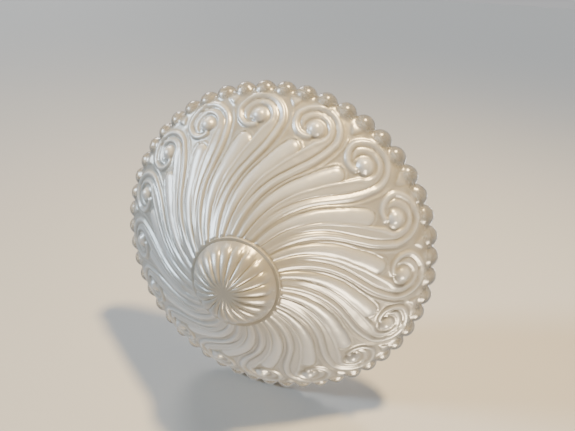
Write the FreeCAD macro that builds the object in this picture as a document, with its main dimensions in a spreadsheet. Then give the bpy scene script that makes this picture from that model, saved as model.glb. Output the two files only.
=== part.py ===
import FreeCAD, Part
import math
import os
import Sketcher

# Tealight holder: a pressed glass bowl with a beaded rim, a swirl-patterned
# conical wall and a fluted button foot, and the tealight that stands in it.
#
# Frame: millimetres, +Z up, the bowl's axis on Z, z = 0 at the ground flat on
# the tip of the foot.

# name: (value, what it measures)
SIZES = {
    # Foot: a fluted dome with a plain band and a step round it
    "foot_radius": (5.0, "ground flat that the bowl stands on"),
    "dome_radius": (15.0, "edge of the foot dome, before its corner is broken"),
    "dome_height": (7.3, "height of that edge"),
    "button_radius": (15.4, "side of the foot button"),
    "button_bevel": (0.45, "broken corner between dome and side"),
    "button_step": (9.1, "height where the button meets the wall"),
    "flute_count": (20, "grooves round the dome"),
    "flute_radius": (1.0, "radius of a groove's round section"),
    "flute_proud": (0.4, "how far that section's centre is outside the dome"),
    "flute_start": (22.0, "angle from the axis where a groove begins"),
    "flute_sweep": (23.0, "angle that a groove runs over"),
    "flute_phase": (17.5, "direction of the first groove"),
    # Wall
    "wall_top_radius": (58.3, "outer wall where it meets the rim"),
    "wall_top_height": (37.0, "height of that place"),
    "wall_rise": (4.3, "upright thickness of the wall at the edge of its floor"),
    "seat_radius": (20.4, "flat floor that the tealight stands on"),
    "seat_height": (16.0, "height of that floor"),
    "lip_radius": (54.8, "inner wall where it meets the rim"),
    "lip_height": (41.2, "height of that place"),
    # Rim of beads
    "rim_height": (40.5, "height of the bead centres"),
    "bead_ring": (58.1, "radius of the circle of bead centres"),
    "bead_radius": (4.1, "radius of one bead"),
    "bead_count": (50, "beads round the rim"),
    "bead_phase": (5.4, "direction of the first bead"),
    "core_radius": (1.5, "solid ring inside the row of beads"),
    # Bosses in the eyes of the scrolls
    "boss_count": (16, "scrolls round the wall"),
    "boss_ring": (50.5, "radius of the circle of boss centres"),
    "boss_radius": (2.5, "radius of one boss"),
    "boss_sunk": (0.7, "how far its centre is inside the wall, upright"),
    "boss_phase": (4.4, "direction of the first boss"),
    # Tealight
    "cup_radius": (18.7, "outside of the metal cup"),
    "cup_height": (15.4, "height of the cup"),
    "cup_wall": (0.35, "thickness of its wall and floor"),
    "curl_radius": (19.3, "outside of the rolled rim"),
    "curl_height": (0.8, "height of the rolled rim"),
    "wax_radius": (18.05, "wax slug"),
    "wax_height": (12.2, "height of the slug"),
    "wax_bevel": (0.6, "broken upper edge of the slug"),
    "tab_radius": (6.2, "disc of the wick sustainer"),
    "tab_thickness": (0.3, "thickness of that disc"),
    "neck_radius": (1.5, "neck of the sustainer"),
    "neck_height": (3.0, "height of the neck above the disc"),
    "wick_radius": (0.8, "wick"),
    "wick_length": (16.6, "length of the wick"),
    "play": (0.05, "clearance round the wick and the sustainer"),
}

FULL_TURN = 360
BAD_STATES = ("Invalid", "Error")

doc = FreeCAD.newDocument("TealightHolder")
sheet = doc.addObject("Spreadsheet::Sheet", "Sizes")


def fill_sheet():
    """Writes one row per driving dimension: its alias, value and meaning."""
    for row, (alias, (value, meaning)) in enumerate(SIZES.items(), start=1):
        sheet.set(f"A{row}", alias)
        sheet.set(f"B{row}", str(value))
        sheet.set(f"C{row}", meaning)
        sheet.setAlias(f"B{row}", alias)
    doc.recompute()


def size(alias):
    """The number that the sheet holds under an alias."""
    return float(sheet.get(alias))


def value_of(owner, expression):
    """The number that an expression gives for one of the document's objects."""
    return float(owner.evalExpression(expression))


def origin_part(body, role):
    """A plane or axis of a body's own origin."""
    return next(o for o in body.Origin.OriginFeatures if o.Role == role)


def new_body(label):
    """An empty PartDesign body with a label of its own."""
    body = doc.addObject("PartDesign::Body", label.title().replace("_", ""))
    body.Label = label
    return body


def outline(body, name, corners, arc=None):
    """A closed outline in the body's XZ plane.

    Each corner is a pair of expressions for its radius and its height, and the
    text "0" keeps it on an axis. Edge number arc, if given, is an arc centred
    on the upright axis, and the others are straight.
    """
    sketch = body.newObject("Sketcher::SketchObject", name)
    sketch.AttachmentSupport = [(origin_part(body, "XZ_Plane"), "")]
    sketch.MapMode = "FlatFace"
    points = [FreeCAD.Vector(value_of(sketch, x), value_of(sketch, z), 0) for x, z in corners]
    for index, start in enumerate(points):
        end = points[(index + 1) % len(points)]
        if index == arc:
            sketch.addGeometry(arc_about_axis(start, end))
        else:
            sketch.addGeometry(Part.LineSegment(start, end))
    for index in range(len(points)):
        sketch.addConstraint(
            Sketcher.Constraint("Coincident", index, 2, (index + 1) % len(points), 1)
        )
    for index, (x, z) in enumerate(corners):
        hold_corner(sketch, index, x, "DistanceX", -2)
        hold_corner(sketch, index, z, "DistanceY", -1)
    if arc is not None:
        sketch.addConstraint(Sketcher.Constraint("PointOnObject", arc, 3, -2))
    return sketch


def arc_about_axis(start, end):
    """The arc between two sketch points whose centre is on the upright axis."""
    centre_height = (end.x**2 + end.y**2 - start.x**2 - start.y**2) / (2 * (end.y - start.y))
    centre = FreeCAD.Vector(0, centre_height, 0)
    angles = [math.atan2(p.y - centre.y, p.x) for p in (start, end)]
    circle = Part.Circle(centre, FreeCAD.Vector(0, 0, 1), centre.distanceToPoint(start))
    return Part.ArcOfCircle(circle, *angles)


def hold_corner(sketch, index, expression, kind, axis):
    """Holds the start of one edge on an axis, or at a distance from the origin."""
    if expression == "0":
        sketch.addConstraint(Sketcher.Constraint("PointOnObject", index, 1, axis))
        return
    value = value_of(sketch, expression)
    number = sketch.addConstraint(Sketcher.Constraint(kind, -1, 1, index, 1, value))
    sketch.setExpression(f"Constraints[{number}]", expression)


def revolve(body, name, sketch):
    """The solid of revolution of an outline about the body's Z axis."""
    feature = body.newObject("PartDesign::Revolution", name)
    feature.Profile = sketch
    feature.ReferenceAxis = (sketch, ["V_Axis"])
    feature.Angle = FULL_TURN
    sketch.Visibility = False
    doc.recompute()
    return feature


def primitive(body, kind, name, sizes, centre, rotation=None):
    """A PartDesign primitive whose sizes and centre are expressions."""
    feature = body.newObject(f"PartDesign::{kind}", name)
    if rotation is not None:
        feature.Placement = FreeCAD.Placement(FreeCAD.Vector(), rotation)
    for prop, expression in sizes.items():
        feature.setExpression(prop, expression)
    for coordinate, expression in zip("xyz", centre):
        feature.setExpression(f"Placement.Base.{coordinate}", expression)
    doc.recompute()
    return feature


def repeat_round(body, name, feature, count):
    """Repeats a feature evenly round the body's Z axis."""
    pattern = body.newObject("PartDesign::PolarPattern", name)
    pattern.Originals = [feature]
    pattern.Axis = (origin_part(body, "Z_Axis"), [""])
    pattern.Angle = FULL_TURN
    pattern.setExpression("Occurrences", count)
    body.Tip = pattern
    doc.recompute()
    return pattern


def on_circle(radius, phase, height):
    """Expressions for a place at a direction on a level circle."""
    return (f"{radius} * cos({phase})", f"{radius} * sin({phase})", height)


def wall_height(radius):
    """Expression for the height of the outer wall at a radius."""
    rise = "(Sizes.wall_top_height - Sizes.button_step)"
    run = "(Sizes.wall_top_radius - Sizes.button_radius)"
    return f"(Sizes.button_step + ({radius} - Sizes.button_radius) * {rise} / {run})"


def make_glass_bowl():
    """The bowl: one pressing, with its rim of beads, bosses and fluted foot."""
    body = new_body("glass_bowl")
    core_top = "Sizes.rim_height + Sizes.core_radius"
    seat_edge = f"{wall_height('Sizes.seat_radius')} + Sizes.wall_rise"
    corners = [
        ("0", "0"),
        ("Sizes.foot_radius", "0"),
        ("Sizes.dome_radius", "Sizes.dome_height"),
        ("Sizes.button_radius", "Sizes.dome_height + Sizes.button_bevel"),
        ("Sizes.button_radius", "Sizes.button_step"),
        ("Sizes.wall_top_radius", "Sizes.wall_top_height"),
        ("Sizes.bead_ring + Sizes.core_radius", "Sizes.rim_height"),
        ("Sizes.bead_ring", core_top),
        ("Sizes.lip_radius", "Sizes.lip_height"),
        ("Sizes.seat_radius", seat_edge),
        ("Sizes.seat_radius", "Sizes.seat_height"),
        ("0", "Sizes.seat_height"),
    ]
    revolve(body, "BowlBlank", outline(body, "BowlProfile", corners, arc=1))
    bead = primitive(
        body,
        "AdditiveSphere",
        "Bead",
        {"Radius": "Sizes.bead_radius"},
        on_circle("Sizes.bead_ring", "Sizes.bead_phase", "Sizes.rim_height"),
    )
    repeat_round(body, "BeadedRim", bead, "Sizes.bead_count")
    boss = primitive(
        body,
        "AdditiveSphere",
        "ScrollBoss",
        {"Radius": "Sizes.boss_radius"},
        on_circle(
            "Sizes.boss_ring",
            "Sizes.boss_phase",
            f"{wall_height('Sizes.boss_ring')} + Sizes.boss_sunk",
        ),
    )
    repeat_round(body, "ScrollBosses", boss, "Sizes.boss_count")
    cut_flutes(body)
    return body


def cut_flutes(body):
    """Cuts the grooves that run down the foot's dome towards its tip."""
    # The dome's arc runs through the foot's edge and the dome's edge.
    edge_square = "Sizes.dome_radius^2 + Sizes.dome_height^2 - Sizes.foot_radius^2"
    centre_height = f"({edge_square}) / (2 * Sizes.dome_height)"
    arc_radius = f"sqrt(({centre_height})^2 + Sizes.foot_radius^2)"
    start = size("flute_start") - FULL_TURN / 4
    upright = FreeCAD.Rotation(FreeCAD.Vector(1, 0, 0), FULL_TURN / 4)
    turned = FreeCAD.Rotation(FreeCAD.Vector(0, 0, 1), size("flute_phase"))
    begun = FreeCAD.Rotation(FreeCAD.Vector(0, 0, 1), start)
    groove = primitive(
        body,
        "SubtractiveTorus",
        "Flute",
        {
            "Radius1": f"{arc_radius} + Sizes.flute_proud",
            "Radius2": "Sizes.flute_radius",
            "Angle3": "Sizes.flute_sweep",
        },
        ("0", "0", centre_height),
        turned * upright * begun,
    )
    repeat_round(body, "Flutes", groove, "Sizes.flute_count")


def make_tealight_cup():
    """The thin metal cup with its rolled rim."""
    body = new_body("tealight_cup")
    inside = "Sizes.cup_radius - Sizes.cup_wall"
    curl_foot = "Sizes.cup_height - Sizes.curl_height"
    corners = [
        ("0", "0"),
        ("Sizes.cup_radius", "0"),
        ("Sizes.cup_radius", curl_foot),
        ("Sizes.curl_radius", curl_foot),
        ("Sizes.curl_radius", "Sizes.cup_height"),
        (inside, "Sizes.cup_height"),
        (inside, "Sizes.cup_wall"),
        ("0", "Sizes.cup_wall"),
    ]
    revolve(body, "CupShell", outline(body, "CupProfile", corners))
    body.setExpression("Placement.Base.z", "Sizes.seat_height")
    return body


def make_tealight_wax():
    """The wax slug, with room for the wick and for the sustainer below it."""
    body = new_body("tealight_wax")
    tab_side = "Sizes.tab_radius + Sizes.play"
    tab_top = "Sizes.tab_thickness + Sizes.play"
    neck_side = "Sizes.neck_radius + Sizes.play"
    neck_top = "Sizes.tab_thickness + Sizes.neck_height + Sizes.play"
    wick_side = "Sizes.wick_radius + Sizes.play"
    corners = [
        (tab_side, "0"),
        ("Sizes.wax_radius", "0"),
        ("Sizes.wax_radius", "Sizes.wax_height - Sizes.wax_bevel"),
        ("Sizes.wax_radius - Sizes.wax_bevel", "Sizes.wax_height"),
        (wick_side, "Sizes.wax_height"),
        (wick_side, neck_top),
        (neck_side, neck_top),
        (neck_side, tab_top),
        (tab_side, tab_top),
    ]
    revolve(body, "WaxSlug", outline(body, "WaxProfile", corners))
    body.setExpression("Placement.Base.z", "Sizes.seat_height + Sizes.cup_wall")
    return body


def make_wick_sustainer():
    """The pressed tab that holds the wick upright on the cup's floor."""
    tab = doc.addObject("Part::Cylinder", "SustainerTab")
    tab.setExpression("Radius", "Sizes.tab_radius")
    tab.setExpression("Height", "Sizes.tab_thickness")
    neck = doc.addObject("Part::Cylinder", "SustainerNeck")
    neck.setExpression("Radius", "Sizes.neck_radius")
    neck.setExpression("Height", "Sizes.tab_thickness + Sizes.neck_height")
    hole = doc.addObject("Part::Cylinder", "SustainerHole")
    hole.setExpression("Radius", "Sizes.wick_radius + Sizes.play")
    hole.setExpression("Height", "Sizes.tab_thickness + Sizes.neck_height")
    blank = doc.addObject("Part::Fuse", "SustainerBlank")
    blank.Base = tab
    blank.Tool = neck
    sustainer = doc.addObject("Part::Cut", "WickSustainer")
    sustainer.Base = blank
    sustainer.Tool = hole
    sustainer.Label = "wick_sustainer"
    sustainer.setExpression("Placement.Base.z", "Sizes.seat_height + Sizes.cup_wall")
    return sustainer


def make_wick():
    """The cotton wick, from the cup's floor to above the cup's rim."""
    wick = doc.addObject("Part::Cylinder", "Wick")
    wick.Label = "wick"
    wick.setExpression("Radius", "Sizes.wick_radius")
    wick.setExpression("Height", "Sizes.wick_length")
    wick.setExpression("Placement.Base.z", "Sizes.seat_height + Sizes.cup_wall")
    return wick


def check(parts):
    """Stops if an object of the document failed or a sub-part isn't one sound solid."""
    for item in doc.Objects:
        if any(state in BAD_STATES for state in item.State):
            raise RuntimeError(f"{item.Label} failed: {item.State}")
    for part in parts:
        shape = part.Shape
        if shape.isNull() or not shape.isValid() or len(shape.Solids) != 1:
            raise RuntimeError(f"{part.Label} isn't one sound solid")


def main():
    """Builds every sub-part, checks it and writes it to parts/."""
    fill_sheet()
    parts = [
        make_glass_bowl(),
        make_tealight_cup(),
        make_tealight_wax(),
        make_wick_sustainer(),
        make_wick(),
    ]
    doc.recompute()
    check(parts)
    os.makedirs("parts", exist_ok=True)
    for part in parts:
        part.Shape.exportStep(f"parts/{part.Label}.step")
        box = part.Shape.BoundBox
        corner = f"({box.XMin:.2f}, {box.YMin:.2f}, {box.ZMin:.2f})"
        sides = f"{box.XLength:.2f} x {box.YLength:.2f} x {box.ZLength:.2f}"
        print(f"{part.Label}: {sides} mm from {corner}, {part.Shape.Volume / 1000:.2f} cm3")


main()
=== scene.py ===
"""Tealight holder: a frosted pressed-glass bowl with a tealight standing in it.

The bowl is spun from one outline and then carved with its scrolls, beads and
fluted foot. Sizes inside the classes are in millimetres, and the meshes are in
metres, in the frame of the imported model.
"""

import logging
import math
from dataclasses import dataclass, field
from enum import Enum

import bpy
import numpy as np
from mathutils import Matrix, Vector


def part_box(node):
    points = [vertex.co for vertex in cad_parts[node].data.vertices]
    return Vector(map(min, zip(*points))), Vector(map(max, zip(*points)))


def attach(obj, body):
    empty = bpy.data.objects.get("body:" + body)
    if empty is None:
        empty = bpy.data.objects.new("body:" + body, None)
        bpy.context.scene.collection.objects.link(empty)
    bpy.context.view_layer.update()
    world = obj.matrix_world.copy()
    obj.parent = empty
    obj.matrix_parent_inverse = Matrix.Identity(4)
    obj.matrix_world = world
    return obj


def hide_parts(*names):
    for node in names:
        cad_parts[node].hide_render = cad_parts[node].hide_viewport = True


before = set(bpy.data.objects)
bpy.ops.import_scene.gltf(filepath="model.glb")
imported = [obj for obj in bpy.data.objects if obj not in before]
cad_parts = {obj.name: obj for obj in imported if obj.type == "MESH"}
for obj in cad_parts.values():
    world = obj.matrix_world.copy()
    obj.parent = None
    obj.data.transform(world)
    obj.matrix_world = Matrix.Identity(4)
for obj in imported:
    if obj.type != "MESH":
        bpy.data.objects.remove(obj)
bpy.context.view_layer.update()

MM = 0.001
FULL_TURN = 360.0
DOUBLES = 1e-7
RELIEF = "relief"
log = logging.getLogger("tealight_holder")


class Body(Enum):
    """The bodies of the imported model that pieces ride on."""

    HOLDER = "holder"
    TEALIGHT = "tealight"
    CANDLE = "candle"


class Slot(Enum):
    """The record's material slots that the new pieces take."""

    GLASS = "frosted_glass"
    CUP = "cup_metal"
    WAX = "wax"
    WICK = "wick_cotton"


# ---------------------------------------------------------------- helpers


def smooth_step(low: float, high: float, x: np.ndarray) -> np.ndarray:
    """Rises smoothly from 0 at low to 1 at high.

    Args:
        low: where the rise begins.
        high: where it ends.
        x: the places to look at.

    Returns:
        The height of the rise at each place.
    """
    t = np.clip((x - low) / (high - low), 0.0, 1.0)
    return t * t * (3.0 - 2.0 * t)


def hump(distance: np.ndarray, half_width: float) -> np.ndarray:
    """A rounded ridge of height 1.

    Args:
        distance: how far each place is from the ridge's centre-line.
        half_width: where the ridge has died away.

    Returns:
        The ridge's height at each place.
    """
    t = np.clip(np.abs(distance) / half_width, 0.0, 1.0)
    return (1.0 - t * t) ** 1.5


def smooth_through(points: list[tuple[float, float]], steps: int) -> np.ndarray:
    """A smooth line through a few points.

    Args:
        points: the points in order.
        steps: how many pieces each stretch between two points is cut into.

    Returns:
        The line as an array of points.
    """
    knots = np.array([points[0], *points, points[-1]])
    line = []
    for a, b, c, d in zip(knots, knots[1:], knots[2:], knots[3:]):
        for t in np.linspace(0.0, 1.0, steps, endpoint=False):
            bent = (2 * a - 5 * b + 4 * c - d) * t**2 + (3 * b - a - 3 * c + d) * t**3
            line.append(b + 0.5 * ((c - a) * t + bent))
    line.append(knots[-1])
    return np.array(line)


def deselect() -> None:
    """Leaves edit mode and deselects everything."""
    if bpy.context.object and bpy.context.object.mode != "OBJECT":
        bpy.ops.object.mode_set(mode="OBJECT")
    bpy.ops.object.select_all(action="DESELECT")


def pick(piece: bpy.types.Object) -> None:
    """Makes one object the only selected one, and the active one."""
    deselect()
    piece.select_set(True)
    bpy.context.view_layer.objects.active = piece


def shade(piece: bpy.types.Object, sharp_angle: float) -> None:
    """Shades a mesh smooth.

    Args:
        piece: the mesh object.
        sharp_angle: edges sharper than this many degrees stay crisp.
    """
    pick(piece)
    bpy.ops.object.shade_smooth_by_angle(angle=math.radians(sharp_angle))
    deselect()


def finish_mesh(piece: bpy.types.Object, sharp_angle: float = 40.0) -> None:
    """Closes doubles, turns the faces outwards and shades the mesh smooth.

    Args:
        piece: the mesh object, whose place is applied to its mesh.
        sharp_angle: edges sharper than this many degrees stay crisp.
    """
    pick(piece)
    bpy.ops.object.transform_apply(location=True, rotation=True, scale=True)
    bpy.ops.object.mode_set(mode="EDIT")
    bpy.ops.mesh.select_all(action="SELECT")
    bpy.ops.mesh.remove_doubles(threshold=DOUBLES)
    bpy.ops.mesh.normals_make_consistent(inside=False)
    bpy.ops.object.mode_set(mode="OBJECT")
    shade(piece, sharp_angle)


def spin_outline(name: str, points: list[tuple[float, float]], steps: int) -> bpy.types.Object:
    """Spins an outline about the upright axis.

    Args:
        name: the new object's name.
        points: radius and height of each point in millimetres.
        steps: how many columns the turn is cut into.

    Returns:
        The spun object, its seam and poles merged.
    """
    deselect()
    radius, height = points[0]
    bpy.ops.mesh.primitive_plane_add(size=MM, location=(radius * MM, 0, height * MM))
    piece = bpy.context.object
    piece.name = piece.data.name = name
    bpy.ops.object.transform_apply(location=True)
    bpy.ops.object.mode_set(mode="EDIT")
    bpy.ops.mesh.select_all(action="SELECT")
    bpy.ops.mesh.merge(type="CENTER")
    for (r0, z0), (r1, z1) in zip(points, points[1:]):
        move = ((r1 - r0) * MM, 0, (z1 - z0) * MM)
        bpy.ops.mesh.extrude_region_move(TRANSFORM_OT_translate={"value": move})
    bpy.ops.mesh.select_all(action="SELECT")
    bpy.ops.mesh.spin(steps=steps, angle=math.tau, center=(0, 0, 0), axis=(0, 0, 1))
    finish_mesh(piece)
    return piece


def read_points(piece: bpy.types.Object) -> np.ndarray:
    """The places of a mesh's points in millimetres."""
    flat = np.empty(len(piece.data.vertices) * 3)
    piece.data.vertices.foreach_get("co", flat)
    return flat.reshape(-1, 3) / MM


def around(points: np.ndarray) -> tuple[np.ndarray, np.ndarray]:
    """The distance of each place from the upright axis, and its direction in degrees."""
    radius = np.hypot(points[:, 0], points[:, 1])
    return radius, np.degrees(np.arctan2(points[:, 1], points[:, 0]))


def write_points(piece: bpy.types.Object, points: np.ndarray) -> None:
    """Moves a mesh's points to the given places in millimetres."""
    piece.data.vertices.foreach_set("co", (points * MM).ravel())
    piece.data.update()


# ---------------------------------------------------------------- finishes


class NodeSheet:
    """A new node material with short ways to add and join its nodes."""

    def __init__(self, name: str) -> None:
        """Makes the material.

        Args:
            name: the material's name.
        """
        self.material = bpy.data.materials.new(name)
        self.material.use_nodes = True
        self.nodes = self.material.node_tree.nodes
        self.links = self.material.node_tree.links
        self.shader = self.nodes["Principled BSDF"]
        self.place = self.nodes.new("ShaderNodeTexCoord").outputs["Object"]

    def set(self, **values: object) -> None:
        """Sets plain values on the shader's own sockets, named with underscores."""
        for key, value in values.items():
            self.shader.inputs[key.replace("_", " ")].default_value = value

    def noise(self, scale: float, detail: float = 3.0, rough: float = 0.5) -> bpy.types.NodeSocket:
        """Adds a noise on the object's own coordinates.

        Args:
            scale: how fine it is, per metre.
            detail: its number of octaves.
            rough: how strong the finer octaves are.

        Returns:
            The noise's value.
        """
        node = self.nodes.new("ShaderNodeTexNoise")
        node.inputs["Scale"].default_value = scale
        node.inputs["Detail"].default_value = detail
        node.inputs["Roughness"].default_value = rough
        self.links.new(self.place, node.inputs["Vector"])
        return node.outputs["Fac"]

    def span(
        self, value: bpy.types.NodeSocket, source: tuple[float, float], target: tuple[float, float]
    ) -> bpy.types.NodeSocket:
        """Maps one range of a value onto another.

        Args:
            value: the value to map.
            source: the range that it comes in.
            target: the range that it leaves in.

        Returns:
            The mapped value.
        """
        node = self.nodes.new("ShaderNodeMapRange")
        self.links.new(value, node.inputs["Value"])
        node.inputs["From Min"].default_value = source[0]
        node.inputs["From Max"].default_value = source[1]
        node.inputs["To Min"].default_value = target[0]
        node.inputs["To Max"].default_value = target[1]
        return node.outputs["Result"]

    def blend(
        self, factor: bpy.types.NodeSocket, first: object, second: object
    ) -> bpy.types.NodeSocket:
        """Mixes two colours.

        Args:
            factor: 0 gives the first colour and 1 the second.
            first: a colour, or a socket that gives one.
            second: the same.

        Returns:
            The mixed colour.
        """
        node = self.nodes.new("ShaderNodeMix")
        node.data_type = "RGBA"
        self.links.new(factor, node.inputs[0])
        for socket, colour in ((node.inputs[6], first), (node.inputs[7], second)):
            if isinstance(colour, tuple):
                socket.default_value = (*colour, 1.0)
            else:
                self.links.new(colour, socket)
        return node.outputs[2]

    def from_axis(self) -> bpy.types.NodeSocket:
        """The distance of each place from the upright axis, in metres."""
        flat = self.nodes.new("ShaderNodeVectorMath")
        flat.operation = "MULTIPLY"
        flat.inputs[1].default_value = (1, 1, 0)
        self.links.new(self.place, flat.inputs[0])
        length = self.nodes.new("ShaderNodeVectorMath")
        length.operation = "LENGTH"
        self.links.new(flat.outputs["Vector"], length.inputs[0])
        return length.outputs["Value"]

    def feed(self, socket: str, value: bpy.types.NodeSocket) -> None:
        """Joins a value to one of the shader's sockets."""
        self.links.new(value, self.shader.inputs[socket])

    def bump(self, heights: list[tuple[bpy.types.NodeSocket, float]]) -> None:
        """Adds bumps one on another and joins them to the shader.

        Args:
            heights: each bump's value and its depth in metres.
        """
        normal = None
        for value, depth in heights:
            node = self.nodes.new("ShaderNodeBump")
            node.inputs["Distance"].default_value = depth
            self.links.new(value, node.inputs["Height"])
            if normal is not None:
                self.links.new(normal, node.inputs["Normal"])
            normal = node.outputs["Normal"]
        self.feed("Normal", normal)


@dataclass(frozen=True)
class FrostedGlass:
    """Milky satin pressed glass, clearer in the beads of the rim.

    A pair of values holds first for the wall and then for the beads.
    """

    milk: tuple[float, float, float] = (0.60, 0.565, 0.49)
    cloud: tuple[float, float, float] = (0.52, 0.485, 0.41)
    # painted highlight: the paler colour laid on the relief's ridges
    ridge: tuple[float, float, float] = (0.92, 0.91, 0.88)
    # painted shade: the darker colour laid in the relief's hollows
    hollow: tuple[float, float, float] = (0.36, 0.335, 0.29)
    bead_from: float = 56.8
    bead_to: float = 60.5
    clearness: tuple[float, float] = (0.34, 0.88)
    pearl: tuple[float, float] = (0.2, 0.0)
    dullness: tuple[float, float] = (1.0, 0.55)
    satin: tuple[float, float] = (0.30, 0.38)

    def colour(self, sheet: NodeSheet) -> bpy.types.NodeSocket:
        """Paints the wall: clouded, with a painted highlight on its ridges and painted shade in its
        hollows.

        Args:
            sheet: the material.

        Returns:
            The colour.
        """
        clouds = sheet.span(sheet.noise(60.0), (0.35, 0.7), (0.0, 0.35))
        body = sheet.blend(clouds, self.milk, self.cloud)
        relief = sheet.nodes.new("ShaderNodeAttribute")
        relief.attribute_name = RELIEF
        # The relief's height drives a painted highlight on the ridges and painted shade in the hollows.
        high = sheet.span(relief.outputs["Fac"], (0.1, 0.9), (0.0, 1.0))
        painted_hollow_shade = sheet.span(relief.outputs["Fac"], (-0.04, -0.34), (0.0, 1.0))
        return sheet.blend(painted_hollow_shade, sheet.blend(high, body, self.ridge), self.hollow)

    def roughness(self, sheet: NodeSheet, bead: bpy.types.NodeSocket) -> bpy.types.NodeSocket:
        """Roughens the wall, and the beads less.

        Args:
            sheet: the material.
            bead: 0 on the wall and 1 on the beads.

        Returns:
            The roughness.
        """
        satin = sheet.span(sheet.noise(1500.0, 2.0, 0.6), (0.3, 0.7), self.satin)
        polish = sheet.nodes.new("ShaderNodeMath")
        polish.operation = "MULTIPLY"
        sheet.links.new(satin, polish.inputs[0])
        sheet.links.new(sheet.span(bead, (0.0, 1.0), self.dullness), polish.inputs[1])
        return polish.outputs["Value"]

    def material(self) -> bpy.types.Material:
        """Makes the material.

        Returns:
            The finished material.
        """
        sheet = NodeSheet(Slot.GLASS.value)
        edge = (self.bead_from * MM, self.bead_to * MM)
        bead = sheet.span(sheet.from_axis(), edge, (0.0, 1.0))
        sheet.feed("Base Color", self.colour(sheet))
        sheet.feed("Transmission Weight", sheet.span(bead, (0.0, 1.0), self.clearness))
        sheet.feed("Roughness", self.roughness(sheet, bead))
        sheet.feed("Metallic", sheet.span(bead, (0.0, 1.0), self.pearl))
        sheet.set(IOR=1.55, Subsurface_Weight=0.5, Subsurface_Scale=0.003)
        sheet.set(Subsurface_Radius=(1.0, 0.96, 0.9))
        sheet.set(Coat_Weight=1.0, Coat_Roughness=0.19, Coat_IOR=1.7)
        waves = sheet.noise(110.0, 2.0)
        dimples = sheet.span(sheet.noise(420.0, 2.0), (0.25, 0.6), (0.0, 1.0))
        grain = sheet.noise(1400.0, 2.0)
        sheet.bump([(waves, 0.0005), (dimples, 0.00002), (grain, 0.000012)])
        return sheet.material


@dataclass(frozen=True)
class Foil:
    """Thin drawn aluminium, brushed round by the press."""

    name: str = "cup_foil"
    tone: tuple[float, float, float] = (0.78, 0.78, 0.79)
    dull: tuple[float, float, float] = (0.56, 0.56, 0.58)
    rough: tuple[float, float] = (0.22, 0.42)

    def material(self) -> bpy.types.Material:
        """Makes the material.

        Returns:
            The finished material.
        """
        sheet = NodeSheet(self.name)
        cloud = sheet.span(sheet.noise(180.0, 4.0), (0.35, 0.7), (0.0, 1.0))
        sheet.feed("Base Color", sheet.blend(cloud, self.tone, self.dull))
        sheet.feed("Roughness", sheet.span(cloud, (0.0, 1.0), self.rough))
        sheet.set(Metallic=1.0)
        sheet.bump([(sheet.noise(260.0, 3.0), 0.0002), (sheet.noise(2500.0, 2.0), 0.00003)])
        return sheet.material


@dataclass(frozen=True)
class Wax:
    """Pale paraffin that light sinks into."""

    tone: tuple[float, float, float] = (0.90, 0.875, 0.81)
    bloom: tuple[float, float, float] = (0.80, 0.775, 0.71)

    def material(self) -> bpy.types.Material:
        """Makes the material.

        Returns:
            The finished material.
        """
        sheet = NodeSheet("wax")
        mottle = sheet.span(sheet.noise(240.0, 4.0), (0.35, 0.7), (0.0, 1.0))
        sheet.feed("Base Color", sheet.blend(mottle, self.tone, self.bloom))
        sheet.feed("Roughness", sheet.span(mottle, (0.0, 1.0), (0.34, 0.5)))
        sheet.set(Subsurface_Weight=0.6, Subsurface_Scale=0.004, IOR=1.44)
        sheet.set(Subsurface_Radius=(1.0, 0.8, 0.55))
        sheet.bump([(sheet.noise(300.0, 3.0), 0.0003), (sheet.noise(1800.0, 2.0), 0.00004)])
        return sheet.material


@dataclass(frozen=True)
class Cotton:
    """Braided cotton, dipped in wax at its foot."""

    tone: tuple[float, float, float] = (0.86, 0.84, 0.77)
    thread: tuple[float, float, float] = (0.66, 0.62, 0.53)

    def material(self) -> bpy.types.Material:
        """Makes the material.

        Returns:
            The finished material.
        """
        sheet = NodeSheet("wick_cotton")
        fibre = sheet.noise(4200.0, 3.0, 0.65)
        sheet.feed("Base Color", sheet.blend(fibre, self.thread, self.tone))
        sheet.feed("Roughness", sheet.span(fibre, (0.3, 0.7), (0.7, 0.95)))
        sheet.bump([(fibre, 0.0001)])
        return sheet.material


@dataclass(frozen=True)
class PaleFloor:
    """The plain surface that the object stands on."""

    tone: tuple[float, float, float] = (0.54, 0.52, 0.49)

    def material(self) -> bpy.types.Material:
        """Makes the material.

        Returns:
            The finished material.
        """
        sheet = NodeSheet("pale_floor")
        sheet.set(Base_Color=(*self.tone, 1.0), Roughness=0.75)
        return sheet.material


# ---------------------------------------------------------------- glass bowl


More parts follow.
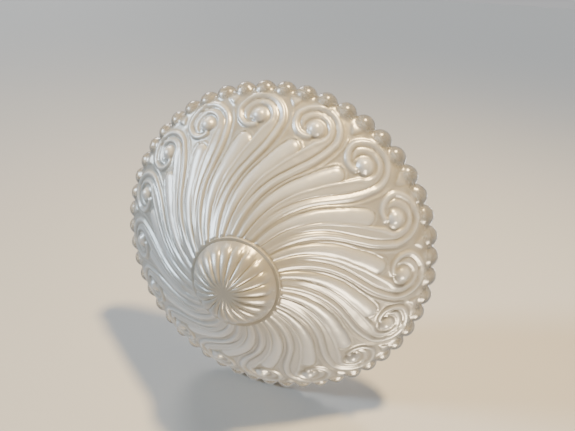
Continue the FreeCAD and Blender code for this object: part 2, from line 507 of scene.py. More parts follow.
@dataclass(frozen=True)
class ScrollRelief:
    """The raised scrolls and feathers of the wall, all alike, set round the axis.

    A place on the wall is its direction in degrees and its reach, the share of
    reach_radius that it is from the axis. Within one scroll, directions are
    measured from its eye.
    """

    count: int = 16
    phase: float = 4.4
    reach_radius: float = 60.0
    slant: float = 1.193  # length up the wall for each millimetre of radius
    eye_reach: float = 0.845
    ball_radius: float = 2.9
    volute_radius: float = 8.4
    curl_from: float = -100.0  # the rib curls from here, in degrees about the eye
    curl_to: float = 262.0
    rib_height: float = 0.8
    rib_half_width: float = 1.15
    rib_offset: float = -0.3
    groove_depth: float = 0.42
    line_height: float = 0.26
    line_offset: float = 3.0
    feather_height: float = 0.5
    feather_offset: float = -5.2
    feather_edge_height: float = 0.3
    feather_edge_offset: float = -9.2
    volute_floor: float = 0.42
    finger_height: float = 1.0
    finger_offset: float = -13.3
    halo_height: float = 0.28
    ring_depth: float = 0.5
    spandrel_height: float = 0.5
    spandrel_reach: float = 0.957
    spandrel_offset: float = 11.6
    spandrel_length: float = 3.4
    wall_from: float = 0.25
    straight_from: float = 0.6  # beyond this reach the feathers run nearly straight

    def pitch(self) -> float:
        """Degrees from one scroll to the next."""
        return FULL_TURN / self.count

    def across(self, turn: np.ndarray, reach: np.ndarray) -> np.ndarray:
        """Millimetres sideways that a turn in degrees makes at a reach."""
        return turn * math.radians(1.0) * self.reach_radius * reach

    def along(self, reach: np.ndarray) -> np.ndarray:
        """Millimetres up the slanting wall that a difference in reach makes."""
        return reach * self.reach_radius * self.slant

    def swirl(self, reach: np.ndarray) -> np.ndarray:
        """How far the feathers have turned at a reach, from where they run straight.

        Args:
            reach: the places' reach.

        Returns:
            Degrees, which are 0 in the ring of eyes and negative further in.
        """
        inner = np.clip(self.straight_from - reach, 0.0, None)
        outer = np.clip(0.76 - np.maximum(reach, self.straight_from), 0.0, None)
        return -86.0 * inner + 38.0 * inner**2 - 234.0 * outer**2

    def stem(self, offset: float) -> list[tuple[float, float]]:
        """A line that swirls out from the foot to where the feathers run straight.

        Args:
            offset: its direction there.

        Returns:
            Its points.
        """
        reaches = np.linspace(self.wall_from, 0.57, 9)
        turned = self.swirl(reaches) - self.swirl(np.array(self.straight_from))
        return [(offset + turn, reach) for turn, reach in zip(turned, reaches)]

    def about_eye(self, turn: float, distance: float) -> tuple[float, float]:
        """A place given by its direction and distance from the eye.

        Args:
            turn: degrees, from sideways towards the rim.
            distance: millimetres along the wall.

        Returns:
            Its direction and reach.
        """
        sideways = distance * math.cos(math.radians(turn))
        out = distance * math.sin(math.radians(turn))
        reach = self.eye_reach + out / (self.reach_radius * self.slant)
        return math.degrees(sideways / (reach * self.reach_radius)), reach

    def volute(self, turn: float) -> float:
        """Distance of the scroll's rib from the eye in one direction about it."""
        flat = 0.6 * max(0.0, math.sin(math.radians(turn))) ** 2
        return self.volute_radius - flat - 0.052 * max(0.0, turn - 158.0)

    def rib(self) -> np.ndarray:
        """The centre-line of the rib: its stem, the bend and the scroll."""
        bend = [(self.rib_offset, self.straight_from), (3.3, 0.65), (6.2, 0.70), (8.4, 0.76)]
        curl = [self.about_eye(turn, self.volute(turn)) for turn in range(-12, 262, 9)]
        return smooth_through(self.stem(self.rib_offset) + bend + curl, 4)

    def feather_edge(self) -> np.ndarray:
        """The left edge of the feather, up to the ring round the eye."""
        start = self.feather_edge_offset
        rise = [(start, self.straight_from), (-5.9, 0.65), (-2.4, 0.70), (0.5, 0.75)]
        ring = [self.about_eye(turn, 4.5) for turn in range(-55, 100, 20)]
        return smooth_through(self.stem(start) + rise + ring, 4)

    def feather_spine(self) -> np.ndarray:
        """The middle of the feather between its edge and the rib."""
        start = self.feather_offset
        rise = [(start, self.straight_from), (-1.4, 0.65), (2.0, 0.70), (4.4, 0.75), (5.4, 0.79)]
        return smooth_through(self.stem(start) + rise, 4)

    def finger_spine(self) -> np.ndarray:
        """The middle of the finger that lies left of the feather."""
        rise = [(self.finger_offset, self.straight_from), (-9.3, 0.66), (-5.3, 0.72)]
        return smooth_through(self.stem(self.finger_offset) + rise, 4)

    def outer_line(self) -> np.ndarray:
        """The fine line right of the rib."""
        rise = [(self.line_offset, self.straight_from), (6.6, 0.64), (9.8, 0.70)]
        rise += [(11.7, 0.77), (12.4, 0.83), (11.9, 0.88)]
        return smooth_through(self.stem(self.line_offset) + rise, 4)

    def nearest(
        self, turn: np.ndarray, reach: np.ndarray, line: np.ndarray
    ) -> tuple[np.ndarray, np.ndarray]:
        """The distance from each place to a line, and the reach where it is nearest.

        Args:
            turn: the places' directions.
            reach: the places' reach.
            line: the line's points.

        Returns:
            Millimetres, signed so that places right of the line are positive, and reach.
        """
        best = np.full(turn.shape, np.inf)
        signed = np.full(turn.shape, np.inf)
        where = np.zeros(turn.shape)
        for (turn0, reach0), (turn1, reach1) in zip(line, line[1:]):
            ax, ay = self.across(turn - turn0, reach), self.along(reach - reach0)
            bx, by = self.across(turn1 - turn0, reach), self.along(reach1 - reach0)
            along = np.clip((ax * bx + ay * by) / (bx * bx + by * by), 0.0, 1.0)
            gap = np.hypot(ax - along * bx, ay - along * by)
            closer = gap < best
            side = np.where(ax * by - ay * bx >= 0, 1.0, -1.0)
            best = np.where(closer, gap, best)
            signed = np.where(closer, gap * side, signed)
            where = np.where(closer, reach0 + along * (reach1 - reach0), where)
        return signed, where

    def finger(self, turn: np.ndarray, reach: np.ndarray) -> tuple[np.ndarray, np.ndarray]:
        """The finger, a round-ended pillow, and the fine line that runs round it.

        Args:
            turn: directions from the eye in degrees.
            reach: the places' reach.

        Returns:
            The height of each.
        """
        gap, at = self.nearest(turn, reach, self.finger_spine())
        half = np.interp(at, [self.wall_from, 0.4, 0.5, 0.6, 0.7], [0.85, 1.45, 1.95, 2.45, 2.75])
        pillow = np.clip(1.0 - (gap / half) ** 2, 0.0, 1.0) ** 0.55
        halo = self.halo_height * hump(np.abs(gap) - half - 0.75, 0.5)
        return self.finger_height * pillow, halo * smooth_step(0.36, 0.55, reach)

    def feather(self, turn: np.ndarray, reach: np.ndarray) -> np.ndarray:
        """The height of the feather, a plank that widens towards the scroll."""
        gap, at = self.nearest(turn, reach, self.feather_spine())
        half = np.interp(at, [self.wall_from, 0.4, 0.6, 0.7, 0.79], [0.9, 1.6, 2.5, 3.3, 3.4])
        return self.feather_height * (1.0 - smooth_step(0.72, 1.0, np.abs(gap) / half))

    def floor_of_volute(self, from_eye: np.ndarray, about: np.ndarray) -> np.ndarray:
        """The raised floor inside the scroll's rib.

        Args:
            from_eye: millimetres from the eye.
            about: the direction about the eye in degrees.

        Returns:
            Its height.
        """
        rib = np.vectorize(self.volute)(np.clip(about, self.curl_from, self.curl_to))
        disc = 1.0 - smooth_step(0.93, 1.02, from_eye / rib)
        disc = np.where(about > 200.0, 0.0, disc)
        return self.volute_floor * disc * smooth_step(-70.0, -35.0, about)

    def eye(self, height: np.ndarray, from_eye: np.ndarray, about: np.ndarray) -> np.ndarray:
        """Sinks the ring round the eye and sets the ball in it.

        Args:
            height: the relief so far.
            from_eye: millimetres from the eye.
            about: the direction about the eye in degrees.

        Returns:
            The new height.
        """
        ring = self.ring_depth * hump(from_eye - self.ball_radius - 0.75, 0.75)
        ring = ring * (1.0 - smooth_step(185.0, 215.0, about))
        ring = ring * smooth_step(self.curl_from, self.curl_from + 20.0, about)
        ball = np.sqrt(np.clip(self.ball_radius**2 - from_eye**2, 0.0, None)) - 0.95
        return np.maximum(height - ring, np.where(from_eye < self.ball_radius, ball, -1.0))

    def one_scroll(self, turn: np.ndarray, reach: np.ndarray) -> np.ndarray:
        """The height of one scroll's relief.

        Args:
            turn: directions from its eye in degrees.
            reach: the places' reach.

        Returns:
            Millimetres above the bare wall, negative in its grooves.
        """
        sideways, out = self.across(turn, reach), self.along(reach - self.eye_reach)
        from_eye = np.hypot(sideways, out)
        about = np.degrees(np.arctan2(out, sideways))
        about = np.where(about < self.curl_from, about + FULL_TURN, about)
        grown = smooth_step(0.3, 0.5, reach)

        finger, halo = self.finger(turn, reach)
        height = np.maximum(finger, self.feather(turn, reach))
        height = np.maximum(height, self.floor_of_volute(from_eye, about))
        edge_gap, _ = self.nearest(turn, reach, self.feather_edge())
        height = height + self.feather_edge_height * hump(edge_gap - 0.35, 0.7) * grown

        rib_gap, _ = self.nearest(turn, reach, self.rib())
        groove = self.groove_depth * hump(np.abs(rib_gap) - self.rib_half_width - 0.35, 0.55)
        height = np.maximum(height, halo) - groove * grown
        height = np.maximum(height, self.rib_height * hump(rib_gap, self.rib_half_width))
        line_gap, _ = self.nearest(turn, reach, self.outer_line())
        line = self.line_height * hump(line_gap, 0.6) * smooth_step(0.45, 0.62, reach)
        height = self.eye(np.maximum(height, line), from_eye, about)
        return np.maximum(height, self.spandrel(turn, reach) * self.spandrel_height)

    def spandrel(self, turn: np.ndarray, reach: np.ndarray) -> np.ndarray:
        """The small raised triangle between two scrolls under the rim.

        Args:
            turn: directions from the eye in degrees.
            reach: the places' reach.

        Returns:
            Its share of full height at each place.
        """
        drop = self.along(self.spandrel_reach - reach)
        sideways = np.abs(self.across(turn - self.spandrel_offset, reach))
        inside = np.minimum(drop, (self.spandrel_length - drop) * 0.55 - sideways * 0.8)
        return smooth_step(-0.15, 0.45, inside)

    def height(self, direction: np.ndarray, radius: np.ndarray) -> np.ndarray:
        """The height of the whole relief.

        Args:
            direction: the places' directions in degrees.
            radius: their distances from the axis in millimetres.

        Returns:
            Millimetres above the bare wall.
        """
        reach = radius / self.reach_radius
        turned = self.swirl(reach)
        home = (direction - self.phase - turned) % self.pitch()
        alike, back = np.unique(
            np.round(np.column_stack([home, radius]), 3), axis=0, return_inverse=True
        )
        return self.height_in_one_sector(alike[:, 0], alike[:, 1])[back.ravel()]

    def height_in_one_sector(self, home: np.ndarray, radius: np.ndarray) -> np.ndarray:
        """The height of the relief between one scroll's eye and the next.

        Args:
            home: directions from the eye, with the swirl taken out.
            radius: distances from the axis in millimetres.

        Returns:
            Millimetres above the bare wall.
        """
        reach = radius / self.reach_radius
        turned = self.swirl(reach)
        tallest = np.full(home.shape, -9.0)
        lowest = np.full(home.shape, 9.0)
        for scroll in (-2, -1, 0, 1):
            one = self.one_scroll(home + turned + scroll * self.pitch(), reach)
            tallest = np.maximum(tallest, one)
            lowest = np.minimum(lowest, one)
        total = np.where(tallest > 0.02, tallest, np.minimum(lowest, tallest))
        grown = 0.45 + 0.55 * smooth_step(0.27, 0.55, reach)
        ending = 1.0 - smooth_step(0.962, 0.985, reach)
        return total * grown * ending


@dataclass
class GlassBowl:
    """The bowl: a fluted foot, a scrolled wall and a rim of beads."""

    columns: int = 800
    foot_radius: float = 5.0
    dome_radius: float = 15.0
    dome_height: float = 7.3
    button_radius: float = 15.4
    button_top: float = 7.75
    button_step: float = 9.1
    wall_top_radius: float = 58.3
    wall_top_height: float = 37.0
    fine_from: float = 35.0  # from this radius on the wall's rows lie close together
    rim_radius: float = 57.2
    lip_radius: float = 54.0
    lip_height: float = 40.63
    seat_radius: float = 20.4
    seat_edge: float = 16.65
    seat_height: float = 16.0
    bead_count: int = 50
    bead_phase: float = 5.4
    bead_ring: float = 58.1
    bead_height: float = 40.5
    bead_radius: float = 4.07
    bead_blend: float = 0.06  # how softly a bead runs into the rim
    rim_from: float = -102.0  # where the rim leaves the outer wall, as base_rim measures it
    rim_to: float = 175.0  # where it meets the inner wall
    rim_rows: int = 25
    lobe_count: int = 20
    lobe_phase: float = 8.5
    lobe_depth: float = 0.72
    lobe_from: float = 3.0
    lobe_end: float = 12.0
    touch: float = 0.02  # a point this close to a surface lies on it
    scrolls: ScrollRelief = field(default_factory=ScrollRelief)

    def slope(self) -> float:
        """Rise of the outer wall per millimetre of radius."""
        rise = self.wall_top_height - self.button_step
        return rise / (self.wall_top_radius - self.button_radius)

    def wall_height(self, radius: np.ndarray) -> np.ndarray:
        """Height of the bare outer wall at a radius."""
        return self.button_step + (radius - self.button_radius) * self.slope()

    def dome_arc(self) -> tuple[float, float]:
        """Height of the centre of the foot's arc, and the arc's radius."""
        square = self.dome_radius**2 + self.dome_height**2 - self.foot_radius**2
        centre = square / (2 * self.dome_height)
        return centre, math.hypot(centre, self.foot_radius)

    def base_rim(self, angle: np.ndarray) -> np.ndarray:
        """The rim without its beads, as a distance from the ring of bead centres.

        It is narrow between the beads and widens into the two walls at its ends.

        Args:
            angle: directions in the upright section, from outwards towards the top.

        Returns:
            Millimetres.
        """
        outer = [(self.rim_from, 4.30), (-86.7, 3.50), (-55.0, 2.35), (-25.0, 1.5)]
        inner = [(90.0, 1.5), (103.6, 1.46), (130.0, 1.63), (150.0, 2.11), (160.0, 2.63)]
        angles, reach = zip(*outer, *inner, (168.0, 3.36), (self.rim_to, 4.1))
        return np.interp(angle, angles, reach)

    def outline(self) -> list[tuple[float, float]]:
        """The outline that is spun: foot, wall, rim, inner wall and seat.

        Returns:
            The radius and height of each point.
        """
        centre, arc = self.dome_arc()
        points = [(0.0, 0.0), (2.5, 0.0)]
        for radius in np.linspace(self.foot_radius, self.dome_radius, 14):
            points.append((radius, centre - math.sqrt(arc**2 - radius**2)))
        points.append((self.button_radius, self.button_top))
        points.append((self.button_radius, self.button_step - 0.3))
        near = [self.button_radius + step for step in (0.0, 0.35, 0.8, 1.4)]
        feathers = np.linspace(17.4, self.fine_from, 18, endpoint=False)
        volutes = np.linspace(self.fine_from, self.rim_radius, 48, endpoint=False)
        for radius in (*near, *feathers, *volutes):
            points.append((radius, float(self.wall_height(radius))))
        for angle in np.linspace(self.rim_from, self.rim_to, self.rim_rows):
            reach = float(self.base_rim(angle))
            x = self.bead_ring + reach * math.cos(math.radians(angle))
            points.append((x, self.bead_height + reach * math.sin(math.radians(angle))))
        for share in (0.035, 0.1, 0.3, 0.55, 0.8):
            radius = self.lip_radius + (self.seat_radius - self.lip_radius) * share
            height = self.lip_height + (self.seat_edge - self.lip_height) * share
            points.append((radius, height))
        points += [(self.seat_radius + 0.3, self.seat_edge + 0.2), (self.seat_radius, 16.35)]
        points += [(self.seat_radius - 0.3, self.seat_height), (0.0, self.seat_height)]
        return points

    def twist(self, points: np.ndarray) -> np.ndarray:
        """Turns the columns of the outer wall so that they follow the feathers.

        Args:
            points: the mesh's points.

        Returns:
            The turned points.
        """
        radius, _ = around(points)
        under = points[:, 2] < self.wall_height(radius) + 1.0
        hollow = (points[:, 2] > self.seat_height - 0.01) & (radius < self.rim_radius - 6.0)
        turning = (under | (radius < self.seat_radius)) & (self.on_bare_wall(points) | ~hollow)
        on_wall = np.clip(radius, self.button_radius, None) / self.scrolls.reach_radius
        turn = np.radians(np.where(turning, self.scrolls.swirl(on_wall), 0.0))
        x = points[:, 0] * np.cos(turn) - points[:, 1] * np.sin(turn)
        y = points[:, 0] * np.sin(turn) + points[:, 1] * np.cos(turn)
        return np.column_stack([x, y, points[:, 2]])

    def on_bare_wall(self, points: np.ndarray) -> np.ndarray:
        """Tells which points are on the bare outer wall."""
        radius, _ = around(points)
        return np.abs(points[:, 2] - self.wall_height(radius)) < 0.05

    def carve_wall(self, points: np.ndarray) -> tuple[np.ndarray, np.ndarray]:
        """Raises the scrolls on the outer wall.

        Args:
            points: the mesh's points.

        Returns:
            The moved points, and the height of each point's relief in millimetres.
        """
        radius, direction = around(points)
        on_wall = self.on_bare_wall(points) & (radius > self.button_radius + 0.1)
        on_wall &= radius < self.rim_radius + 1.5
        height = np.zeros(len(points))
        height[on_wall] = self.scrolls.height(direction[on_wall], radius[on_wall])
        steep = math.atan(self.slope())
        outwards = points[:, :2] / np.maximum(radius, 1e-6)[:, None]
        moved = points.copy()
        moved[:, :2] += outwards * (height * math.sin(steep))[:, None]
        moved[:, 2] -= height * math.cos(steep)
        return moved, height

    def carve_beads(self, points: np.ndarray) -> np.ndarray:
        """Swells the rim into its row of beads.

        Args:
            points: the mesh's points.

        Returns:
            The moved points.
        """
        radius, direction = around(points)
        out, up = radius - self.bead_ring, points[:, 2] - self.bead_height
        angle = np.degrees(np.arctan2(up, out))
        angle = np.where(angle < self.rim_from - 1.0, angle + FULL_TURN, angle)
        base = self.base_rim(angle)
        rim = np.abs(np.hypot(out, up) - base) < self.touch
        rim &= (angle > self.rim_from - 0.5) & (angle < self.rim_to + 0.5)
        off = self.off_centre(direction, self.bead_count, self.bead_phase)
        across = self.bead_ring * np.sin(off)
        ball = np.sqrt(np.maximum(self.bead_radius**2 - across**2, 0.0))
        swollen = 0.5 * (ball + base + np.sqrt((ball - base) ** 2 + self.bead_blend))
        seam = smooth_step(self.rim_from, self.rim_from + 10.0, angle)
        seam = np.minimum(seam, 1.0 - smooth_step(self.rim_to - 7.0, self.rim_to, angle))
        wanted = base + (swollen - base) * seam
        centre = self.bead_ring + self.bead_ring * (np.cos(off) - 1.0) * seam
        new_radius = centre + wanted * np.cos(np.radians(angle))
        new_height = self.bead_height + wanted * np.sin(np.radians(angle))
        moved = points.copy()
        moved[:, :2] *= np.where(rim, new_radius / np.maximum(radius, 1e-6), 1.0)[:, None]
        moved[:, 2] = np.where(rim, new_height, points[:, 2])
        return moved

    def off_centre(self, direction: np.ndarray, count: int, phase: float) -> np.ndarray:
        """The turn from each place to the middle of the bead or lobe that it is in.

        Args:
            direction: the places' directions in degrees.
            count: how many beads or lobes go round.
            phase: the direction of one of them.

        Returns:
            Radians.
        """
        pitch = FULL_TURN / count
        return np.radians((direction - phase + pitch / 2) % pitch - pitch / 2)

    def carve_foot(self, points: np.ndarray) -> np.ndarray:
        """Cuts the foot's dome down between its lobes.

        Args:
            points: the mesh's points.

        Returns:
            The moved points.
        """
        centre, arc = self.dome_arc()
        radius, direction = around(points)
        gap = np.abs(arc - np.hypot(radius, points[:, 2] - centre))
        dome = (gap < self.touch) & (radius <= self.dome_radius + 0.01)
        dome &= points[:, 2] < self.button_step
        across = radius * np.sin(self.off_centre(direction, self.lobe_count, self.lobe_phase))
        half = np.clip(radius, self.lobe_from, self.lobe_end) * math.pi / self.lobe_count
        beyond = np.maximum(radius - self.lobe_end, 0.0)
        share = np.hypot(across, beyond) / half
        lobe = np.clip(1.0 - share**2.5, 0.0, 1.0) ** 0.7
        depth = self.lobe_depth * (1.0 - lobe) * smooth_step(3.2, 6.0, radius)
        moved = points.copy()
        inwards = np.column_stack([-points[:, 0], -points[:, 1], centre - points[:, 2]]) / arc
        moved += np.where(dome, depth, 0.0)[:, None] * inwards
        return moved

    def build(self) -> bpy.types.Object:
        """Makes the bowl.

        Returns:
            The finished piece.
        """
        piece = spin_outline("glass_bowl_pressed", self.outline(), self.columns)
        beaded = self.carve_beads(read_points(piece))
        carved, relief = self.carve_wall(self.twist(beaded))
        write_points(piece, self.carve_foot(carved))
        # The relief's height is kept on the mesh, and the glass paints its highlight on the ridges and
        # its shade in the hollows from it.
        layer = piece.data.attributes.new(RELIEF, "FLOAT", "POINT")
        layer.data.foreach_set("value", relief)
        shade(piece, 50.0)
        piece.data.materials.append(FrostedGlass().material())
        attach(piece, Body.HOLDER.value)
        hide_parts("glass_bowl")
        return piece


# ---------------------------------------------------------------- tealight


@dataclass
class Tealight:
    """The candle that stands in the bowl: foil cup, wax, wick and sustainer."""

    cup_radius: float = 18.7
    cup_wall: float = 0.35
    curl_radius: float = 19.3
    flutes: int = 48
    flute_depth: float = 0.22
    wax_radius: float = 18.05
    wick_radius: float = 0.8
    wick_rows: int = 90
    strands: int = 3
    braid_pitch: float = 3.1
    cup_columns: int = 384
    wax_columns: int = 160
    wick_columns: int = 36

    def cup(self) -> bpy.types.Object:
        """Makes the fluted foil cup with its rolled rim.

        Returns:
            The finished piece.
        """
        low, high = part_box("tealight_cup")
        floor, top = low[2] / MM, high[2] / MM
        side, wall = self.cup_radius, self.cup_wall
        curl = (self.curl_radius - side + wall) / 2
        centre = self.curl_radius - curl
        points = [(0.0, floor + 0.25), (side - 3.2, floor + 0.25), (side - 2.6, floor)]
        points += [(side - 1.0, floor), (side - 0.3, floor + 0.3), (side, floor + 1.0)]
        for share in np.linspace(0.12, 1.0, 8):
            points.append((side, floor + 1.0 + (top - curl * 2 - floor - 1.2) * share))
        for turn in range(-60, 190, 25):
            x = centre + curl * math.cos(math.radians(turn))
            points.append((x, top - curl + curl * math.sin(math.radians(turn))))
        points += [(side - wall, top - 2.2), (side - wall, floor + 1.1)]
        points += [(side - 1.1, floor + wall), (side - 2.6, floor + wall)]
        points += [(side - 3.2, floor + 0.25 + wall), (0.0, floor + 0.25 + wall)]
        piece = spin_outline("tealight_cup_foil", points, self.cup_columns)
        at = read_points(piece)
        radius = np.hypot(at[:, 0], at[:, 1])
        direction = np.arctan2(at[:, 1], at[:, 0])
        fade = smooth_step(floor + 0.9, floor + 2.4, at[:, 2])
        fade = fade * (1 - smooth_step(top - 3.2, top - 1.8, at[:, 2]))
        wave = 0.5 - 0.5 * np.cos(direction * self.flutes)
        skin = np.abs(radius - side) < 0.02
        pull = np.where(skin, 1 - self.flute_depth * wave * fade / side, 1.0)
        at[:, :2] *= pull[:, None]
        write_points(piece, at)
        finish_mesh(piece, 45.0)
        piece.data.materials.append(Foil().material())
        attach(piece, Body.TEALIGHT.value)
        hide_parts("tealight_cup")
        return piece

    def wax(self) -> bpy.types.Object:
        """Makes the wax slug: hollow in the middle, creeping up at cup and wick.

        Returns:
            The finished piece.
        """
        low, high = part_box("tealight_wax")
        floor, top = low[2] / MM, high[2] / MM
        hole = self.wick_radius + 0.03
        points = [(6.25, floor), (self.wax_radius - 0.8, floor), (self.wax_radius, floor + 0.9)]
        points += [(self.wax_radius, top - 1.0), (self.wax_radius, top - 0.02)]
        for share in np.linspace(0.02, 0.96, 16):
            radius = self.wax_radius + (hole - self.wax_radius) * share
            edge = math.exp(-(self.wax_radius - radius) / 0.7)
            neck = math.exp(-(radius - hole) / 0.9)
            points.append((radius, top - 0.55 + 0.5 * max(edge, neck)))
        points += [(hole, top - 0.1), (hole, floor + 3.4), (1.55, floor + 3.35)]
        points += [(1.55, floor + 0.35), (6.25, floor + 0.35)]
        piece = spin_outline("tealight_wax_slug", [*points, points[0]], self.wax_columns)
        at = read_points(piece)
        upper = at[:, 2] > top - 0.9
        radius = np.hypot(at[:, 0], at[:, 1])
        direction = np.arctan2(at[:, 1], at[:, 0])
        sway = 0.06 * np.sin(3 * direction + 0.7) * np.sin(radius * 0.35)
        at[:, 2] += np.where(upper & (radius > 2.0) & (radius < 17.0), sway, 0.0)
        write_points(piece, at)
        finish_mesh(piece, 60.0)
        piece.data.materials.append(Wax().material())
        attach(piece, Body.CANDLE.value)
        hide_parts("tealight_wax")
        return piece

    def wick(self) -> bpy.types.Object:
        """Makes the braided wick, with its plaited strands and frayed tip.

        Returns:
            The finished piece.
        """
        low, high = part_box("wick")
        floor, top = low[2] / MM, high[2] / MM
        heights = np.linspace(floor, top, self.wick_rows + 1)
        side = [(self.wick_radius * 0.97, height) for height in heights]
        lines = [(0.0, floor), *side, (0.0, top)]
        piece = spin_outline("wick_braided", lines, self.wick_columns)
        at = read_points(piece)
        direction = np.arctan2(at[:, 1], at[:, 0])
        climb = (at[:, 2] - floor) * math.tau / self.braid_pitch
        leftward = np.cos(self.strands * (direction + climb))
        rightward = np.cos(self.strands * (direction - climb))
        plait = np.maximum(leftward, rightward)
        frayed = 1 - 0.25 * smooth_step(top - 0.8, top, at[:, 2])
        scale = (0.86 + 0.13 * plait) * frayed
        at[:, :2] *= scale[:, None]
        write_points(piece, at)
        finish_mesh(piece, 60.0)
        piece.data.materials.append(Cotton().material())
        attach(piece, Body.CANDLE.value)
        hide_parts("wick")
        return piece

    def dress_sustainer(self) -> None:
        """Gives the sustainer, which keeps its own shape, its tinned metal."""
        tin = Foil(tone=(0.66, 0.65, 0.62), dull=(0.45, 0.44, 0.42), name="tab_tin")
        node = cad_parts["wick_sustainer"]
        node.data.materials.clear()
        node.data.materials.append(tin.material())

    def build(self) -> list[bpy.types.Object]:
        """Makes every piece of the tealight."""
        self.dress_sustainer()
        return [self.cup(), self.wax(), self.wick()]


# ---------------------------------------------------------------- studio


@dataclass
class Studio:
    """Floor, table, lights and camera.

    The camera looks at the outside of the bowl from below the floor, as if the
    bowl leant on its rim on the table. Rays through the clear sheet before the
    lens see the table and not the floor, and all other rays the reverse.
    """

    eye: tuple[float, float, float] = (0.0, -81.5, -106.1)
    forward: tuple[float, float, float] = (-0.0204, 0.4113, 0.9113)
    upward: tuple[float, float, float] = (-0.6968, -0.6594, 0.2821)
    lens: float = 26.92
    table_up: tuple[float, float, float] = (-0.565, -0.809, -0.160)
    table_offset: float = -67.9
    aim: tuple[float, float, float] = (0.0, 0.0, 30.0)
    glow_below: float = 0.13
    glow_above: float = 0.55
    glow_seen: float = 0.66

    def camera_axes(self) -> Matrix:
        """The camera's turn.

        Returns:
            A matrix whose columns are its right, up and back directions.
        """
        back = -Vector(self.forward).normalized()
        right = Vector(self.upward).cross(back).normalized()
        up = back.cross(right)
        return Matrix((right, up, back)).transposed()

    def camera(self) -> None:
        """Places the camera."""
        data = bpy.data.cameras.new("camera")
        data.lens = self.lens
        data.clip_start = 0.002
        camera = bpy.data.objects.new("camera", data)
        bpy.context.scene.collection.objects.link(camera)
        place = Matrix.Translation(Vector(self.eye) * MM)
        camera.matrix_world = place @ self.camera_axes().to_4x4()
        bpy.context.scene.camera = camera

    def disc(self, name: str, radius: float, place: Vector, up: Vector) -> bpy.types.Object:
        """Makes a flat round stage piece.

        Args:
            name: its name.
            radius: its radius in metres.
            place: its centre.
            up: the direction that its front looks in.

        Returns:
            The stage piece, which is no part of the object.
        """
        deselect()
        turn = up.normalized().to_track_quat("Z", "Y").to_euler()
        bpy.ops.mesh.primitive_circle_add(
            vertices=128, radius=radius, fill_type="NGON", location=place, rotation=turn
        )
        piece = bpy.context.object
        piece.name = piece.data.name = name
        deselect()
        return piece

    def floors(self) -> None:
        """Makes the floor under the foot, the table under the rim and the clear sheet."""
        floor = self.disc("floor", 12.0, Vector((0, 0, 0)), Vector((0, 0, 1)))
        floor.data.materials.append(PaleFloor().material())
        floor.visible_diffuse = floor.visible_glossy = False
        floor.visible_transmission = floor.visible_shadow = False
        up = Vector(self.table_up).normalized()
        table = self.disc("table", 30.0, up * self.table_offset * MM, up)
        table.data.materials.append(PaleFloor().material())
        table.visible_camera = table.visible_diffuse = table.visible_glossy = False
        table.visible_shadow = False
        self.clear_sheet()

    def clear_sheet(self) -> None:
        """Hangs a sheet that bends no light just before the camera."""
        forward = Vector(self.forward).normalized()
        sheet = self.disc("clear_sheet", 0.02, Vector(self.eye) * MM + forward * 0.006, -forward)
        clear = bpy.data.materials.new("clear_sheet")
        clear.use_nodes = True
        nodes = clear.node_tree.nodes
        nodes.remove(nodes["Principled BSDF"])
        pane = nodes.new("ShaderNodeBsdfRefraction")
        pane.inputs["Roughness"].default_value = 0.0
        pane.inputs["IOR"].default_value = 1.0
        clear.node_tree.links.new(pane.outputs[0], nodes["Material Output"].inputs["Surface"])
        sheet.data.materials.append(clear)
        sheet.visible_diffuse = sheet.visible_glossy = sheet.visible_transmission = False
        sheet.visible_shadow = False

    def light(
        self, name: str, kind: str, power: float, colour: tuple[float, float, float]
    ) -> bpy.types.Object:
        """Adds one light, which is then placed by its caller.

        Args:
            name: its name.
            kind: Blender's name for its kind.
            power: watts for a lamp, and watts per square metre for a sun.
            colour: its colour.

        Returns:
            The light's object.
        """
        data = bpy.data.lights.new(name, kind)
        data.energy = power
        data.color = colour
        light = bpy.data.objects.new(name, data)
        bpy.context.scene.collection.objects.link(light)
        return light

    def lamp(
        self, name: str, offset: Vector, size: float, power: float, colour: tuple[float, float, float]
    ) -> None:
        """Adds one soft round lamp that points at the bowl.

        Args:
            name: its name.
            offset: its place from the bowl's middle, in metres.
            size: how far it is across, in metres.
            power: its power in watts.
            colour: its colour.
        """
        lamp = self.light(name, "AREA", power, colour)
        lamp.data.shape = "DISK"
        lamp.data.size = size
        turn = (-offset).to_track_quat("-Z", "Y").to_matrix().to_4x4()
        lamp.matrix_world = Matrix.Translation(Vector(self.aim) * MM + offset) @ turn

    def sun(
        self, name: str, source: Vector, spread: float, power: float, colour: tuple[float, float, float]
    ) -> None:
        """Adds one light whose rays run alike over the whole scene.

        Args:
            name: its name.
            source: the direction that it comes from.
            spread: its apparent size in degrees.
            power: its power in watts per square metre.
            colour: its colour.
        """
        sun = self.light(name, "SUN", power, colour)
        sun.data.angle = math.radians(spread)
        sun.matrix_world = (-source).to_track_quat("-Z", "Y").to_matrix().to_4x4()

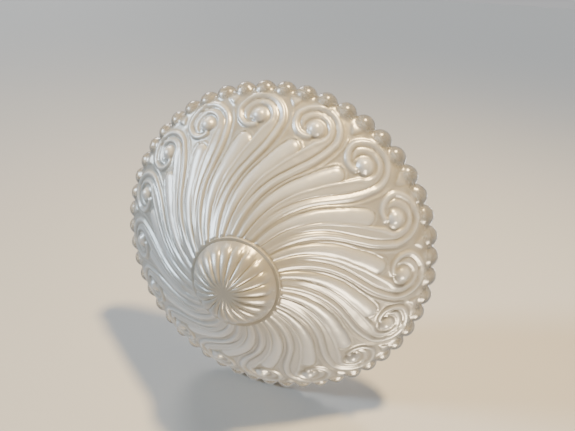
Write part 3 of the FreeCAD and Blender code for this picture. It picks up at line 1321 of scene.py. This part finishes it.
    def lights(self) -> None:
        """Adds the lights: three placed by the camera's view, two for the upright object."""
        axes = self.camera_axes()
        self.sun("window", axes @ Vector((-0.90, 0.36, 0.27)), 9.0, 3.6, (0.68, 0.84, 1.0))
        self.lamp("lamp", axes @ Vector((0.15, 0.42, 0.245)), 0.05, 6.0, (1.0, 0.73, 0.36))
        self.lamp("table_glow", axes @ Vector((0.22, -0.55, 0.26)), 0.3, 5.4, (1.0, 0.83, 0.60))
        self.sun("overhead", Vector((0.15, 0.20, 0.80)), 25.0, 1.9, (1.0, 0.99, 0.97))
        self.sun("side", Vector((-0.85, -0.20, 0.45)), 14.0, 1.5, (1.0, 0.97, 0.93))

    def surroundings(self) -> None:
        """Adds the pale surroundings: bright to look at, and lighting more from above."""
        world = bpy.data.worlds.new("studio")
        world.use_nodes = True
        nodes, links = world.node_tree.nodes, world.node_tree.links
        ground = nodes["Background"]
        ground.inputs["Color"].default_value = (0.95, 0.95, 0.96, 1.0)
        parts = nodes.new("ShaderNodeSeparateXYZ")
        links.new(nodes.new("ShaderNodeTexCoord").outputs["Generated"], parts.inputs["Vector"])
        sky = nodes.new("ShaderNodeMapRange")
        sky.inputs["From Min"].default_value = -0.25
        sky.inputs["From Max"].default_value = 0.35
        sky.inputs["To Min"].default_value = self.glow_below
        sky.inputs["To Max"].default_value = self.glow_above
        links.new(parts.outputs["Z"], sky.inputs["Value"])
        bright = nodes.new("ShaderNodeMapRange")
        bright.inputs["To Max"].default_value = self.glow_seen
        path = nodes.new("ShaderNodeLightPath")
        links.new(path.outputs["Is Camera Ray"], bright.inputs["Value"])
        links.new(sky.outputs["Result"], bright.inputs["To Min"])
        links.new(bright.outputs["Result"], ground.inputs["Strength"])
        bpy.context.scene.world = world

    def build(self) -> None:
        """Sets up the whole studio."""
        self.camera()
        self.floors()
        self.lights()
        self.surroundings()


def main() -> None:
    """Builds the holder, the tealight and the studio, and reports each piece."""
    logging.basicConfig(level=logging.INFO)
    pieces = [GlassBowl().build(), *Tealight().build()]
    for piece in pieces:
        log.info("%s: %d faces", piece.name, len(piece.data.polygons))
    Studio().build()


if __name__ == "__main__":
    main()
